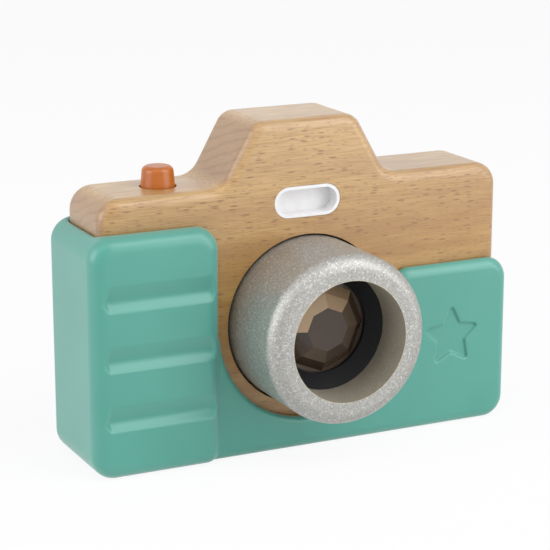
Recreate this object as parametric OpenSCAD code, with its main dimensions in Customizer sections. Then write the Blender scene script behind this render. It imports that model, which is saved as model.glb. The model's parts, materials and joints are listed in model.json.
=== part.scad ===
// Toy camera: a beech body in a soft sleeve, with a lens barrel that turns, a sprung
// shutter button and a small sound-and-light module inside.
// X runs to the right seen from the front, the lens looks along -Y, and Z is up from the table.
// X = 0 is the lens axis and Y = 0 is the middle of the wood.

/* [Wooden body] */
// Width of the wooden body
body_w = 123; // [118:1:140]
// Depth of the wooden body, front to back
body_d = 25; // [24:0.5:30]
// Height of the shoulders above the lens axis
shoulder_up = 39.35; // [38:0.25:48]
// Height of the hump above the shoulders
hump_h = 17.5; // [12:0.5:20]
// Width of the hump at shoulder level
hump_base_w = 50.6; // [46:0.2:60]
// Width of the hump across its top
hump_top_w = 31; // [24:0.5:36]
// Corner radius at the top of the hump
hump_top_r = 5.5; // [3.5:0.5:7]
// Radius of the hollow between hump and shoulder
hump_foot_r = 7; // [2:0.5:10]
// Corner radius at the ends of the shoulders
shoulder_r = 6.5; // [4:0.5:8]
// Corner radius at the foot of the wood
foot_r = 4; // [3.5:0.5:6]
// Rounding of the front and back edges of the wood
body_edge_r = 3; // [1:0.25:3.25]

/* [Silicone sleeve] */
// Thickness of the sleeve under the wood
sleeve_floor = 3; // [2:0.5:5]
// Thickness of the end wall on the grip side
sleeve_grip_wall = 4.5; // [3:0.25:6]
// Thickness of the other end wall
sleeve_end_wall = 2.5; // [2:0.25:5]
// Thickness of the front panel
sleeve_front_wall = 3.4; // [3:0.1:5]
// Thickness of the back panel
sleeve_back_wall = 3.1; // [3:0.1:5]
// Drop from the shoulder to the sleeve's top on the grip side
sleeve_grip_drop = 9; // [5:0.25:9.25]
// Rise from the lens axis to the sleeve's top on the other side
sleeve_end_up = 11.75; // [10:0.25:16]
// Corner radius of the sleeve seen from the front
sleeve_corner_r = 6.5; // [4:0.5:8]
// Rounding of the sleeve's outer edges
sleeve_edge_r = 3; // [1.5:0.25:3]
// Gap between the barrel and the round cut-outs in the sleeve
sleeve_cut_gap = 4.15; // [2:0.05:5]
// How far the end panel's inner corner reaches into the cut-out
sleeve_panel_in = 1.5; // [0.5:0.1:2]
// Clearance between sleeve and wood
sleeve_gap = 0.1; // [0.05:0.05:0.5]

/* [Grip] */
// Distance from the cut-out to the grip's inner edge
grip_land = 0.5; // [0.25:0.05:2]
// How far the grip stands out in front of the front panel
grip_proud = 2.6; // [1:0.1:4]
// Number of finger grooves
groove_count = 3; // [1:1:3]
// Height of the lowest groove's valley
groove_z = 16.2; // [12:0.2:20]
// Distance from groove to groove
groove_pitch = 16.6; // [12:0.2:18]
// Depth of a groove
groove_depth = 1.9; // [0.5:0.1:2.4]
// Height of the slope above a groove's valley
groove_above = 4.8; // [3:0.1:6]
// Height of the slope below a groove's valley
groove_below = 2.8; // [2:0.1:4]
// Distance from a groove's outer end to the sleeve's end
groove_outer_gap = 3; // [2.5:0.25:8]
// Distance from a groove's inner end to the grip's inner edge
groove_inner_gap = 1.2; // [0.8:0.2:6]
// Length of the slope at each end of a groove
groove_end_run = 2; // [1.5:0.1:4]

/* [Star] */
// Radius of the star pressed into the end panel
star_r = 8; // [4:0.5:11]
// Depth of the star
star_depth = 0.8; // [0.3:0.1:1.5]
// Drop from the lens axis to the star's centre
star_drop = 10.15; // [4:0.25:16]

/* [Lens barrel] */
// Height of the lens axis above the table
lens_z = 36.65; // [36:0.25:38]
// Outer radius of the barrel
barrel_r = 23.85; // [22:0.25:24.25]
// How far the barrel stands out of the wood
barrel_out = 26; // [20:0.5:34]
// How deep the barrel sits in the wood
barrel_seat = 8; // [5:0.5:9]
// Gap round the barrel where it enters the wood
barrel_gap = 0.6; // [0.3:0.1:1]
// Rounding of the barrel's front lip
barrel_lip_r = 4; // [1:0.25:5]
// Width of the barrel's front rim
barrel_rim_w = 6.85; // [6:0.05:9]
// Depth of the lens holder's edge behind the barrel's front
lens_depth = 13; // [8:0.5:16]
// Depth of the funnel between the holder's edge and the lens
lens_funnel = 3.5; // [2:0.25:5]
// Width of the black ring that shows round the lens
lens_ring_w = 5; // [4:0.25:6]
// Wall of the barrel round the lens
barrel_wall = 5.55; // [5:0.05:5.75]
// Thickness of the lens at its rim
lens_rim_t = 2.5; // [1.5:0.25:4]
// Height of the facets in front of the rim
lens_crown = 4; // [2:0.25:4.5]
// Number of facets in each ring
lens_facets = 8; // [5:1:12]
// Radius of the spigot that the barrel turns on
spigot_r = 12.5; // [11.5:0.25:13.5]
// Radius of the hole through the spigot
spigot_bore_r = 10; // [6:0.25:10]

/* [Eyepiece] */
// Outer radius of the eyepiece ring
eye_r = 15.5; // [15:0.25:16]
// Depth of the eyepiece ring's seat in the back of the wood
eye_depth = 4; // [3.5:0.25:5]
// Radius of the hole that one looks through
eye_hole_r = 9.2; // [5:0.2:9.6]
// Thickness of the clear window
eye_window_t = 1.4; // [0.8:0.1:1.8]

/* [Shutter button] */
// Distance from the module pocket's inner wall to the button's axis
button_in = 7.55; // [6.75:0.05:10]
// Radius of the button
button_r = 4.75; // [4:0.25:5.5]
// How far the button stands above the shoulder
button_out = 5.7; // [4.5:0.1:8]
// Travel of the button
button_travel = 2.5; // [1:0.1:3]
// Gap between the button and its hole
button_gap = 0.4; // [0.3:0.05:0.8]
// Rounding of the button's top edge
button_edge_r = 1.6; // [0.5:0.1:2.5]

/* [Flash] */
// Width of the flash window
flash_w = 20.4; // [14:0.2:21]
// Height of the flash window
flash_h = 9; // [7:0.2:9.4]
// Drop from the shoulder to the flash window's centre
flash_drop = 5.6; // [4:0.1:6.2]
// Depth of the recess in the flash window
flash_depth = 4; // [2:0.25:4.5]
// Wall of the flash window's cup
flash_wall = 0.9; // [0.6:0.1:1.2]
// Depth of the slot for the flash, from the front of the wood
flash_slot_d = 10.5; // [10:0.25:13]

/* [Module pocket] */
// Wood left between the pocket and the end of the body
bay_end_wall = 4.5; // [4:0.25:5.5]
// Wood left between the pocket and the barrel's bore
bay_lens_wall = 7.5; // [6.5:0.25:8]
// Wood left above the pocket
bay_roof = 14.5; // [14.5:0.25:16]
// Wood left below the pocket
bay_foot_wall = 11; // [10:0.5:11.5]
// Wood left in front of the pocket
bay_front_wall = 4.5; // [4:0.25:5]
// Thickness of the back cover
cover_t = 2.5; // [2.25:0.25:3]

/* [Electronics] */
// Thickness of the circuit board
board_t = 1.4; // [0.8:0.2:1.6]
// Radius of a button cell
cell_r = 5.8; // [4.8:0.1:5.8]
// Number of button cells
cell_count = 3; // [1:1:3]
// Gap between the speaker and the module pocket's side walls
speaker_side_gap = 3.5; // [2.5:0.25:6]
// Radius of the wires
lead_r = 0.5; // [0.3:0.05:0.6]

/* [Hidden] */
$fn = 96;
// Steps of an arc at a corner
arc_steps = 7;
// Steps of a rounded edge
edge_steps = 6;
// Overrun of a cut past the face that it opens
over = 1;
// Clearance of parts that are fixed to each other
fit = 0.1;
// Clearance of parts that move past each other
slip = 0.3;

// Heights
shoulder_z = lens_z + shoulder_up;
flash_z = shoulder_z - flash_drop;
star_z = lens_z - star_drop;
sleeve_grip_z = shoulder_z - sleeve_grip_drop;
sleeve_end_z = lens_z + sleeve_end_up;

// Faces of wood and sleeve
front_y = -body_d / 2;
back_y = body_d / 2;
hump_z = shoulder_z + hump_h;
sleeve_front_y = front_y - sleeve_front_wall;
sleeve_back_y = back_y + sleeve_back_wall;
sleeve_x0 = -body_w / 2 - sleeve_grip_wall;
sleeve_x1 = body_w / 2 + sleeve_end_wall;
sleeve_cut_r = barrel_r + sleeve_cut_gap;
sleeve_panel_x = sleeve_cut_r - sleeve_panel_in;
grip_x = sleeve_cut_r + grip_land;
// Stock that is cut off below, which leaves one flat base
base_trim = 0.3;
// Corner radii where the grip meets the base and the end panel meets the cut-out
grip_foot_r = 4;
panel_corner_r = 5;
// Where the sleeve's opening for the wood stops, inside the round cut-out
notch_drop = 2.5;
notch_z = lens_z - notch_drop;

// Grip
grip_y = sleeve_front_y - grip_proud;
grip_hair = 0.12;
groove_x0 = sleeve_x0 + groove_outer_gap;
groove_x1 = -grip_x - groove_inner_gap;
groove_soft_share = 0.3;
groove_steps = 7;

// Star
star_x = (sleeve_panel_x + sleeve_x1) / 2;
star_points = 5;
star_inner_share = 0.5;
star_round = 0.6;

// Barrel, from its front to its rear
barrel_front_y = front_y - barrel_out;
bore_r = barrel_r + barrel_gap;
seat_y = front_y + barrel_seat;
base_t = 3.2;
base_y1 = seat_y - slip;
base_y0 = base_y1 - base_t;
barrel_open_r = barrel_r - barrel_rim_w;
lens_bore_r = barrel_r - barrel_wall;
spacer_r = lens_bore_r - fit;
spacer_y0 = barrel_front_y + lens_depth;
spacer_lip_y = spacer_y0 + lens_funnel;
spacer_lip_t = 1;
spacer_lip_w = 1.5;
lens_hole_r = spacer_r - lens_ring_w;
lens_r = lens_hole_r + spacer_lip_w;
lens_y0 = spacer_lip_y + spacer_lip_t;
lens_y1 = lens_y0 + lens_rim_t;
lens_middle_share = 0.78;
lens_inner_share = 0.48;
lens_crown_middle_share = 0.62;
lens_facet_t = 0.2;
spigot_gap = 0.08;
barrel_screw_count = 3;
barrel_screw_ring_r = (barrel_r + lens_bore_r) / 2;
barrel_screw_l = 8;

// Eyepiece
eye_seat_y = back_y - eye_depth;
eye_inset = 0.2;
eye_lip_t = 1.3;
eye_y0 = eye_seat_y + slip;
eye_y1 = back_y - eye_inset;
spigot_y1 = eye_y1 - eye_lip_t;
eye_window_ledge = 0.8;
eye_window_r = spigot_bore_r + eye_window_ledge - fit;
eye_bevel = 1;

// Module pocket and back cover
bay_x0 = -body_w / 2 + bay_end_wall;
bay_x1 = -bore_r - bay_lens_wall;
bay_w = bay_x1 - bay_x0;
bay_cx = (bay_x0 + bay_x1) / 2;
bay_z0 = sleeve_floor + bay_foot_wall;
bay_z1 = shoulder_z - bay_roof;
bay_y0 = front_y + bay_front_wall;
pocket_r = 3;
cover_y0 = back_y - cover_t;
cover_side_ledge = 2.3;
cover_end_ledge = 5;
cover_x0 = bay_x0 - cover_side_ledge;
cover_x1 = bay_x1 + cover_side_ledge;
cover_z0 = bay_z0 - cover_end_ledge;
cover_z1 = bay_z1 + cover_end_ledge;
cover_gap = 0.2;
cover_screw_inset = 3;
cover_screw_places = [
    for (x = [bay_x0 + cover_screw_inset, bay_x1 - cover_screw_inset],
         z = [(cover_z0 + bay_z0) / 2, (bay_z1 + cover_z1) / 2]) [x, z]
];
cover_screw_l = 7;

// Screws
head_r = 1.9;
head_t = 1.4;
shank_r = 0.9;
cross_w = 0.6;
cross_d = 0.6;
cross_l_share = 0.6;

// Board and foam pad, on the front wall of the pocket
pad_t = 1.4;
pad_w_share = 0.52;
pad_end_gap = 3;
board_side_gap = 1;
board_foot_gap = 1.5;
board_head_gap = 6;
board_x0 = bay_x0 + board_side_gap;
board_x1 = bay_x1 - board_side_gap;
board_z0 = bay_z0 + board_foot_gap;
board_z1 = bay_z1 - board_head_gap;
board_y0 = bay_y0 + pad_t;
board_y1 = board_y0 + board_t;
board_r = 1;
board_screw_inset = 2.5;
board_screw_depth = 3;
board_screw_up = 18;
board_screw_places = [
    [board_x0 + board_screw_inset, board_z1 - board_screw_inset],
    [board_x1 - board_screw_inset, board_z0 + board_screw_up]
];
chip_r = 4;
chip_h = 1.6;

// Button, stem, spring and switch, from the top down
button_x = bay_x1 - button_in;
button_top_z = shoulder_z + button_out;
button_hole_r = button_r + button_gap;
button_taper = 0.35;
button_straight_share = 0.35;
cap_clear = 2;
cap_z0 = bay_z1 + button_travel + cap_clear;
stem_r = 3;
socket_d = 7.5;
stem_z1 = cap_z0 + socket_d;
flange_r = 5.4;
flange_t = 2;
flange_z1 = bay_z1 - slip;
flange_z0 = flange_z1 - flange_t;
tail_r = 1.8;
tail_l = 4;
tail_z0 = flange_z0 - tail_l;
spring_h = 8;
spring_r = 3.2;
spring_wire_r = 0.3;
spring_turns = 5;
spring_rings = 8;
spring_sides = 6;
switch_w = 6.2;
switch_h = 5;
switch_past = 3.2;
switch_z1 = flange_z0 - spring_h;
switch_z0 = switch_z1 - switch_h;
plunger_r = 1.5;
plunger_in = 1;
plunger_z0 = switch_z1 - plunger_in;
plunger_hole_r = plunger_r + slip;

// Wire channel from the module pocket to the flash
channel_r = 2.2;
channel_y = 6;
channel_z = bay_z1 - channel_r - fit;

// Flash, lamp and the pocket behind them
flash_y0 = front_y + fit;
flash_floor = 1.2;
flash_bay_y0 = front_y + flash_slot_d;
flash_bay_w = 23;
flash_bay_rim = 1.1;
flash_bay_z0 = channel_z - channel_r - slip;
flash_bay_z1 = flash_z + flash_h / 2 + flash_bay_rim;
flash_cover_w = 36;
flash_cover_t = 2.2;
flash_cover_ledge = 2;
flash_cover_y0 = back_y - flash_cover_t;
flash_cover_z0 = flash_bay_z0 - flash_cover_ledge;
flash_cover_z1 = flash_bay_z1 + flash_cover_ledge;
flash_cover_z = (flash_cover_z0 + flash_cover_z1) / 2;
flash_screw_x = (flash_bay_w + flash_cover_w) / 4;
led_board_t = 1.2;
led_board_side_gap = 0.5;
led_board_foot_gap = 3;
led_board_y1 = flash_bay_y0 + led_board_t;
led_board_z0 = flash_bay_z0 + led_board_foot_gap;
led_r = 2.5;
led_flange_r = 2.9;
led_flange_t = 1;
led_l = flash_slot_d - flash_depth - flash_floor - slip;

// Battery holder, cells and contacts
holder_wall = 1.2;
holder_lift = 2.2;
holder_foot = 1.7;
holder_foot_r = 1.2;
cell_gap = 0.3;
cell_cap_h_share = 0.13;
cell_cap_r_share = 0.84;
cell_slip = 0.05;
contact_t = 0.4;
contact_side = 9;
contact_bump = 2.4;
contact_bump_r = 3;
contact_tip_r = 1.6;
contact_tab_w = 2;
holder_side_gap = 1.6;
holder_l = bay_w - 2 * (holder_side_gap + holder_wall);
cell_h = (holder_l - contact_bump - 2 * contact_t) / cell_count;
holder_h = 2 * (cell_r + cell_gap);
holder_y0 = board_y1 + holder_foot;
holder_z = bay_z0 + holder_lift + holder_wall + holder_h / 2;
cell_y = holder_y0 + holder_wall + cell_gap + cell_r;
boss_r = 2.8;
boss_sink = 0.8;
boss_z = holder_z + holder_h / 2 + holder_wall + boss_r - boss_sink;

// Battery door
door_t = 1.2;
door_lip = 1.8;
door_screw_margin = 3.5;
door_x0 = bay_cx - holder_l / 2 - door_lip;
door_x1 = bay_cx + holder_l / 2 + door_lip;
door_z0 = holder_z - holder_h / 2 - door_lip;
door_z1 = boss_z + door_screw_margin;
door_y0 = back_y - door_t;
door_r = 2;
door_plug_lift = 0.2;
door_screw_r = 1;
door_screw_l = 7;
window_margin = 0.8;

// Speaker
speaker_gap = 1.4;
speaker_r = min(bay_w / 2 - speaker_side_gap, (bay_z1 - door_z1) / 2 - speaker_gap);
speaker_z = door_z1 + speaker_gap + speaker_r;
speaker_ring_t = 1.6;
speaker_ring_w = 1.5;
speaker_ledge = 1.2;
speaker_pit = 2.2;
speaker_pit_share = 0.6;
basket_l = 1.8;
magnet_r_share = 0.5;
magnet_l = 1.2;
cone_t = 0.3;
cone_rise = 0.6;
sound_hole_share = 0.11;
sound_hole_ring_share = 0.5;
sound_hole_count = 6;
sleeve_hole_share = 0.155;
speaker_lead_angle = 10;

// Route of the wires from the board through the channel to the lamp's board
lead_inset = 1.6;
lead_pad_drop = 4;
lead_rise = 2.2;
lead_wall_gap = 1.6;
lead_dip = 1;
lead_x = -7;
lead_led_rise = 1.4;
lead_pitch = 1.5;
lead_steps = 4;
lead_sides = 8;
lead_pad_z = board_z1 - lead_pad_drop;
lead_route = [
    [board_x1 - lead_inset, board_y1 + fit, lead_pad_z],
    [board_x1 - lead_inset, board_y1 + lead_rise, lead_pad_z],
    [bay_x1 - lead_wall_gap, (board_y1 + channel_y) / 2 + lead_rise, (lead_pad_z + channel_z) / 2],
    [bay_x1 - lead_wall_gap, channel_y, channel_z - lead_dip],
    [bay_x1 + lead_wall_gap, channel_y, channel_z],
    [(bay_x1 - flash_bay_w / 2) / 2, channel_y, channel_z],
    [-flash_bay_w / 2, channel_y, channel_z],
    [lead_x, led_board_y1 + lead_rise, led_board_z0 + lead_led_rise],
    [lead_x, led_board_y1 + fit, led_board_z0 + lead_led_rise]
];

// Points and outlines
function unit(v) = v / norm(v);

function arc(centre, r, start, turn, steps) =
    [for (i = [0:steps]) centre + r * [cos(start + turn * i / steps), sin(start + turn * i / steps)]];

// The arc that rounds corner p between its neighbours a and b
function corner_arc(a, p, b, r, steps) =
    let (u = unit(a - p),
         v = unit(b - p),
         half = acos(u * v) / 2,
         centre = p + unit(u + v) * r / sin(half),
         from = p + u * r / tan(half) - centre,
         to = p + v * r / tan(half) - centre,
         start = atan2(from.y, from.x))
    arc(centre, r, start, atan2(cross(from, to), from * to), steps);

function place(corner) = [corner.x, corner.y];

// An outline from corners given as [x, z, radius]
function rounded(corners) =
    let (n = len(corners))
    [for (i = [0:n - 1])
        let (p = corners[i])
        each p[2] > 0
            ? corner_arc(place(corners[(i + n - 1) % n]), place(p), place(corners[(i + 1) % n]), p[2],
                         arc_steps)
            : [place(p)]];

// The same corners moved inwards by d, for an outline that runs counter-clockwise
function inset(corners, d) =
    let (n = len(corners))
    [for (i = [0:n - 1])
        let (p = place(corners[i]),
             u = unit(p - place(corners[(i + n - 1) % n])),
             v = unit(place(corners[(i + 1) % n]) - p),
             across_u = [-u.y, u.x],
             across_v = [-v.y, v.x],
             q = p + (across_u + across_v) * d / (1 + across_u * across_v),
             r = corners[i][2])
        [q.x, q.y, r == 0 ? 0 : r + (cross(u, v) > 0 ? -d : d)]];

function span(first, last) = [for (i = [first:last]) i];

// The place of corner k's first point in the outline
function first_point(corners, k) =
    k == 0 ? 0 : first_point(corners, k - 1) + (corners[k - 1][2] > 0 ? arc_steps + 1 : 1);

function whole_face(corners) = [span(0, first_point(corners, len(corners)) - 1)];

function pill(w, h) =
    concat(arc([(w - h) / 2, 0], h / 2, -90, 180, 2 * arc_steps),
           arc([(h - w) / 2, 0], h / 2, 90, 180, 2 * arc_steps));

function star(r) =
    [for (i = [0:2 * star_points - 1])
        let (reach = i % 2 == 0 ? r : r * star_inner_share, turn = 90 + 180 * i / star_points)
        [reach * cos(turn), reach * sin(turn), star_round]];

// A smooth curve through points, with straight ends
function smooth(points, steps) =
    let (last = len(points) - 1)
    concat([for (i = [0:last - 1], s = [0:steps - 1])
        let (a = points[max(i - 1, 0)], b = points[i], c = points[i + 1], d = points[min(i + 2, last)],
             t = s / steps)
        b + (c - a) * t / 2 + (2 * a - 5 * b + 4 * c - d) * t * t / 2
            + (3 * b - a - 3 * c + d) * t * t * t / 2],
        [points[last]]);

function helix(r, z0, z1, turns, rings) =
    [for (i = [0:turns * rings])
        let (turn = 360 * i / rings)
        [r * cos(turn), r * sin(turn), z0 + (z1 - z0) * i / (turns * rings)]];

// Building blocks
// An outline drawn in X and Z, as a slab from y0 to y1
module slab(y0, y1) {
    translate([0, y1, 0])
        rotate([90, 0, 0])
            linear_extrude(y1 - y0)
                children();
}

module panel(x0, x1, z0, z1, r) {
    polygon(rounded([[x0, z0, r], [x1, z0, r], [x1, z1, r], [x0, z1, r]]));
}

// Turns a shape that stands on Z to run along +Y
module along_y(x, y, z) {
    translate([x, y, z])
        rotate([-90, 0, 0])
            children();
}

module rod(x, z, y0, y1, r) {
    along_y(x, y0, z)
        cylinder(h = y1 - y0, r = r);
}

// A profile in radius and length, turned about the lens axis and measured along Y
module turned() {
    along_y(0, 0, lens_z)
        rotate_extrude()
            children();
}

// A slab from y0 to y1 whose front and back edges are rounded with r.
// Each fan lists the points of one part of the face, and its first point sees all the others.
module rounded_slab(corners, y0, y1, r, fans) {
    front = [for (i = [0:edge_steps])
        let (turn = 90 * i / edge_steps)
        [r * (1 - sin(turn)), y0 + r * (1 - cos(turn))]];
    back = [for (i = [0:edge_steps])
        let (turn = 90 * i / edge_steps)
        [r * (1 - cos(turn)), y1 - r * (1 - sin(turn))]];
    levels = concat(front, back);
    n = len(rounded(corners));
    last = len(levels) - 1;
    points = [for (level = levels, p = rounded(inset(corners, level[0]))) [p.x, level[1], p.y]];
    walls = [for (i = [0:last - 1], k = [0:n - 1])
        let (a = i * n + k, b = i * n + (k + 1) % n)
        each [[a, b, b + n], [a, b + n, a + n]]];
    faces = [for (fan = fans, k = [1:len(fan) - 2])
        each [[fan[0], fan[k + 1], fan[k]], last * [n, n, n] + [fan[0], fan[k], fan[k + 1]]]];
    polyhedron(points, concat(walls, faces));
}

// A tube of triangles along points, with no stretch along ref
module tube(points, r, sides, ref) {
    last = len(points) - 1;
    rings = [for (i = [0:last])
        let (ahead = unit(points[min(i + 1, last)] - points[max(i - 1, 0)]),
             u = unit(cross(ahead, ref)),
             v = cross(ahead, u))
        each [for (k = [0:sides - 1]) points[i] + r * (cos(360 * k / sides) * u + sin(360 * k / sides) * v)]];
    walls = [for (i = [0:last - 1], k = [0:sides - 1])
        let (a = i * sides + k, b = i * sides + (k + 1) % sides)
        each [[a, a + sides, b + sides], [a, b + sides, b]]];
    caps = [for (k = [1:sides - 2])
        each [[0, k, k + 1], [last * sides, last * sides + k + 1, last * sides + k]]];
    polyhedron(rings, concat(walls, caps));
}

// A screw with its head's underside at the origin, driven along -Y
module screw(length, r, sunk) {
    rotate([-90, 0, 0])
        difference() {
            union() {
                if (sunk)
                    cylinder(h = head_t, r1 = r, r2 = head_r);
                else
                    cylinder(h = head_t, r = head_r);
                translate([0, 0, head_t - length])
                    cylinder(h = length, r = r);
            }
            for (turn = [0, 90])
                rotate([0, 0, turn])
                    translate([-head_r * cross_l_share, -cross_w / 2, head_t - cross_d])
                        cube([2 * head_r * cross_l_share, cross_w, cross_d + over]);
        }
}

// The hole that a sunk screw needs in a plate whose face is at y1
module sunk_hole(place, y0, y1, r) {
    rod(place[0], place[1], y0 - over, y1 + over, r + fit);
    along_y(place[0], y1 - head_t, place[1])
        cylinder(h = head_t, r1 = r + fit, r2 = head_r + fit);
    rod(place[0], place[1], y1 - fit, y1 + over, head_r + fit);
}

// Wood
wood_corners = [
    [-body_w / 2, sleeve_floor, foot_r],
    [body_w / 2, sleeve_floor, foot_r],
    [body_w / 2, shoulder_z, shoulder_r],
    [hump_base_w / 2, shoulder_z, hump_foot_r],
    [hump_top_w / 2, hump_z, hump_top_r],
    [-hump_top_w / 2, hump_z, hump_top_r],
    [-hump_base_w / 2, shoulder_z, hump_foot_r],
    [-body_w / 2, shoulder_z, shoulder_r]
];

module cover_outline(gap) {
    panel(cover_x0 + gap, cover_x1 - gap, cover_z0 + gap, cover_z1 - gap, pocket_r);
}

module flash_cover_outline(gap) {
    half_w = flash_cover_w / 2;
    panel(gap - half_w, half_w - gap, flash_cover_z0 + gap, flash_cover_z1 - gap, pocket_r);
}

module flash_outline(gap) {
    translate([0, flash_z])
        polygon(pill(flash_w - 2 * gap, flash_h - 2 * gap));
}

module wooden_body() {
    color("burlywood")
        difference() {
            rounded_slab(wood_corners, front_y, back_y, body_edge_r, whole_face(wood_corners));
            // Barrel and eyepiece
            rod(0, lens_z, front_y - over, seat_y, bore_r);
            rod(0, lens_z, seat_y - over, back_y, spigot_r + spigot_gap);
            rod(0, lens_z, eye_seat_y, back_y + over, eye_r + button_gap);
            // Module pocket, its cover and their screws
            slab(bay_y0, back_y + over)
                panel(bay_x0, bay_x1, bay_z0, bay_z1, pocket_r);
            slab(cover_y0, back_y + over)
                cover_outline(0);
            for (p = cover_screw_places)
                rod(p[0], p[1], back_y - cover_screw_l, back_y, shank_r + fit);
            for (p = board_screw_places)
                rod(p[0], p[1], bay_y0 - board_screw_depth, bay_y0 + over, shank_r + fit);
            // Button
            translate([button_x, 0, bay_z1 - over])
                cylinder(h = shoulder_z + over - bay_z1 + over, r = button_hole_r);
            // Wire channel, drilled in from the end that the sleeve covers
            translate([-body_w / 2 - over, channel_y, channel_z])
                rotate([0, 90, 0])
                    cylinder(h = body_w / 2 + over - flash_bay_w / 2 + over, r = channel_r);
            // Flash slot, the pocket behind it, its cover and their screws
            slab(front_y - over, flash_bay_y0 + over)
                flash_outline(0);
            slab(flash_bay_y0, back_y + over)
                panel(-flash_bay_w / 2, flash_bay_w / 2, flash_bay_z0, flash_bay_z1, pocket_r);
            slab(flash_cover_y0, back_y + over)
                flash_cover_outline(0);
            for (side = [-1, 1])
                rod(side * flash_screw_x, flash_cover_z, back_y - cover_screw_l, back_y, shank_r + fit);
        }
}

// Sleeve
sleeve_corners = [
    [sleeve_x0, -base_trim, sleeve_corner_r],
    [sleeve_x1, -base_trim, sleeve_corner_r],
    [sleeve_x1, sleeve_end_z, sleeve_corner_r],
    [sleeve_panel_x, sleeve_end_z, panel_corner_r],
    [sleeve_panel_x, notch_z, 0],
    [-grip_x, notch_z, 0],
    [-grip_x, sleeve_grip_z, sleeve_corner_r],
    [sleeve_x0, sleeve_grip_z, sleeve_corner_r]
];
// Grip column, floor and end panel
sleeve_starts = [for (k = [0:len(sleeve_corners)]) first_point(sleeve_corners, k)];
sleeve_fans = [
    concat([sleeve_starts[5]], span(sleeve_starts[6], sleeve_starts[8] - 1), span(0, sleeve_starts[1] - 1)),
    [sleeve_starts[1] - 1, sleeve_starts[1], sleeve_starts[4], sleeve_starts[5]],
    concat([sleeve_starts[4]], span(sleeve_starts[1], sleeve_starts[4] - 1))
];
// The grip stands on the front panel, a hair inside its outline
grip_corners = inset([
    [sleeve_x0, -base_trim, sleeve_corner_r],
    [-grip_x, -base_trim, grip_foot_r],
    [-grip_x, sleeve_grip_z, sleeve_corner_r],
    [sleeve_x0, sleeve_grip_z, sleeve_corner_r]
], grip_hair);

// How far a groove's floor has risen at share t of its way from the valley to its edge
function rise(t) =
    (sqrt(t * t + groove_soft_share * groove_soft_share) - groove_soft_share)
        / (sqrt(1 + groove_soft_share * groove_soft_share) - groove_soft_share);

// A finger groove with a soft valley and ends that fade out, closed by a point in front of the grip
module groove(z) {
    far = 1 + over / groove_depth;
    shares = [for (i = [0:groove_steps]) far * i / groove_steps];
    xs = concat([for (i = [groove_steps:-1:0]) [groove_x0 + groove_end_run * (1 - shares[i]), shares[i]]],
                [for (t = shares) [groove_x1 - groove_end_run * (1 - t), t]]);
    zs = concat([for (i = [groove_steps:-1:1]) [-groove_below * shares[i], shares[i]]],
                [for (t = shares) [groove_above * t, t]]);
    nx = len(xs);
    nz = len(zs);
    floor = [for (x = xs, h = zs)
        [x[0], grip_y + max(groove_depth * (1 - rise(x[1]) - rise(h[1])), -over), z + h[0]]];
    tip = [(groove_x0 + groove_x1) / 2, grip_y - 2 * over, z];
    patches = [for (i = [0:nx - 2], j = [0:nz - 2])
        let (a = i * nz + j, b = a + nz)
        each [[a, b + 1, a + 1], [a, b, b + 1]]];
    ring = concat([for (i = [0:nx - 1]) i * nz],
                  [for (j = [1:nz - 1]) (nx - 1) * nz + j],
                  [for (i = [nx - 2:-1:0]) i * nz + nz - 1],
                  [for (j = [nz - 2:-1:1]) j]);
    sides = [for (k = [0:len(ring) - 1]) [ring[(k + 1) % len(ring)], ring[k], nx * nz]];
    polyhedron(concat(floor, [tip]), concat(patches, sides));
}

module speaker_holes(y0, y1, r) {
    rod(bay_cx, speaker_z, y0, y1, r);
    for (i = [0:sound_hole_count - 1])
        let (turn = 360 * i / sound_hole_count, reach = speaker_r * sound_hole_ring_share)
            rod(bay_cx + reach * cos(turn), speaker_z + reach * sin(turn), y0, y1, r);
}

// The sleeve's walls about the wood, with the round cut-outs
module sleeve_walls() {
    difference() {
        union() {
            rounded_slab(sleeve_corners, sleeve_front_y, sleeve_back_y, sleeve_edge_r, sleeve_fans);
            rounded_slab(grip_corners, grip_y, 0, sleeve_edge_r, whole_face(grip_corners));
        }
        // Flat base
        translate([sleeve_x0 - over, grip_y - over, -base_trim - over])
            cube([sleeve_x1 - sleeve_x0 + 2 * over, sleeve_back_y - grip_y + 2 * over, base_trim + over]);
        // Room for the wood
        translate([0, 0, sleeve_floor])
            linear_extrude(sleeve_grip_z - sleeve_floor + over)
                panel(-body_w / 2 - sleeve_gap, body_w / 2 + sleeve_gap,
                      front_y - sleeve_gap, back_y + sleeve_gap, body_edge_r);
        rod(0, lens_z, grip_y - over, sleeve_back_y + over, sleeve_cut_r);
    }
}

// The walls with the star, the battery window and the sound holes
module sleeve_panels() {
    difference() {
        sleeve_walls();
        slab(sleeve_front_y - over, sleeve_front_y + star_depth)
            translate([star_x, star_z])
                polygon(rounded(star(star_r)));
        slab(back_y, sleeve_back_y + over)
            panel(door_x0 - window_margin, door_x1 + window_margin,
                  door_z0 - window_margin, door_z1 + window_margin, door_r + window_margin);
        speaker_holes(back_y, sleeve_back_y + over, speaker_r * sleeve_hole_share);
    }
}

module silicone_sleeve() {
    color("mediumaquamarine")
        difference() {
            sleeve_panels();
            union()
                for (i = [0:groove_count - 1])
                    groove(groove_z + i * groove_pitch);
        }
}

// Lens barrel
function barrel_screw_place(i) =
    let (turn = 90 + 360 * i / barrel_screw_count)
    [barrel_screw_ring_r * cos(turn), lens_z + barrel_screw_ring_r * sin(turn)];

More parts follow.
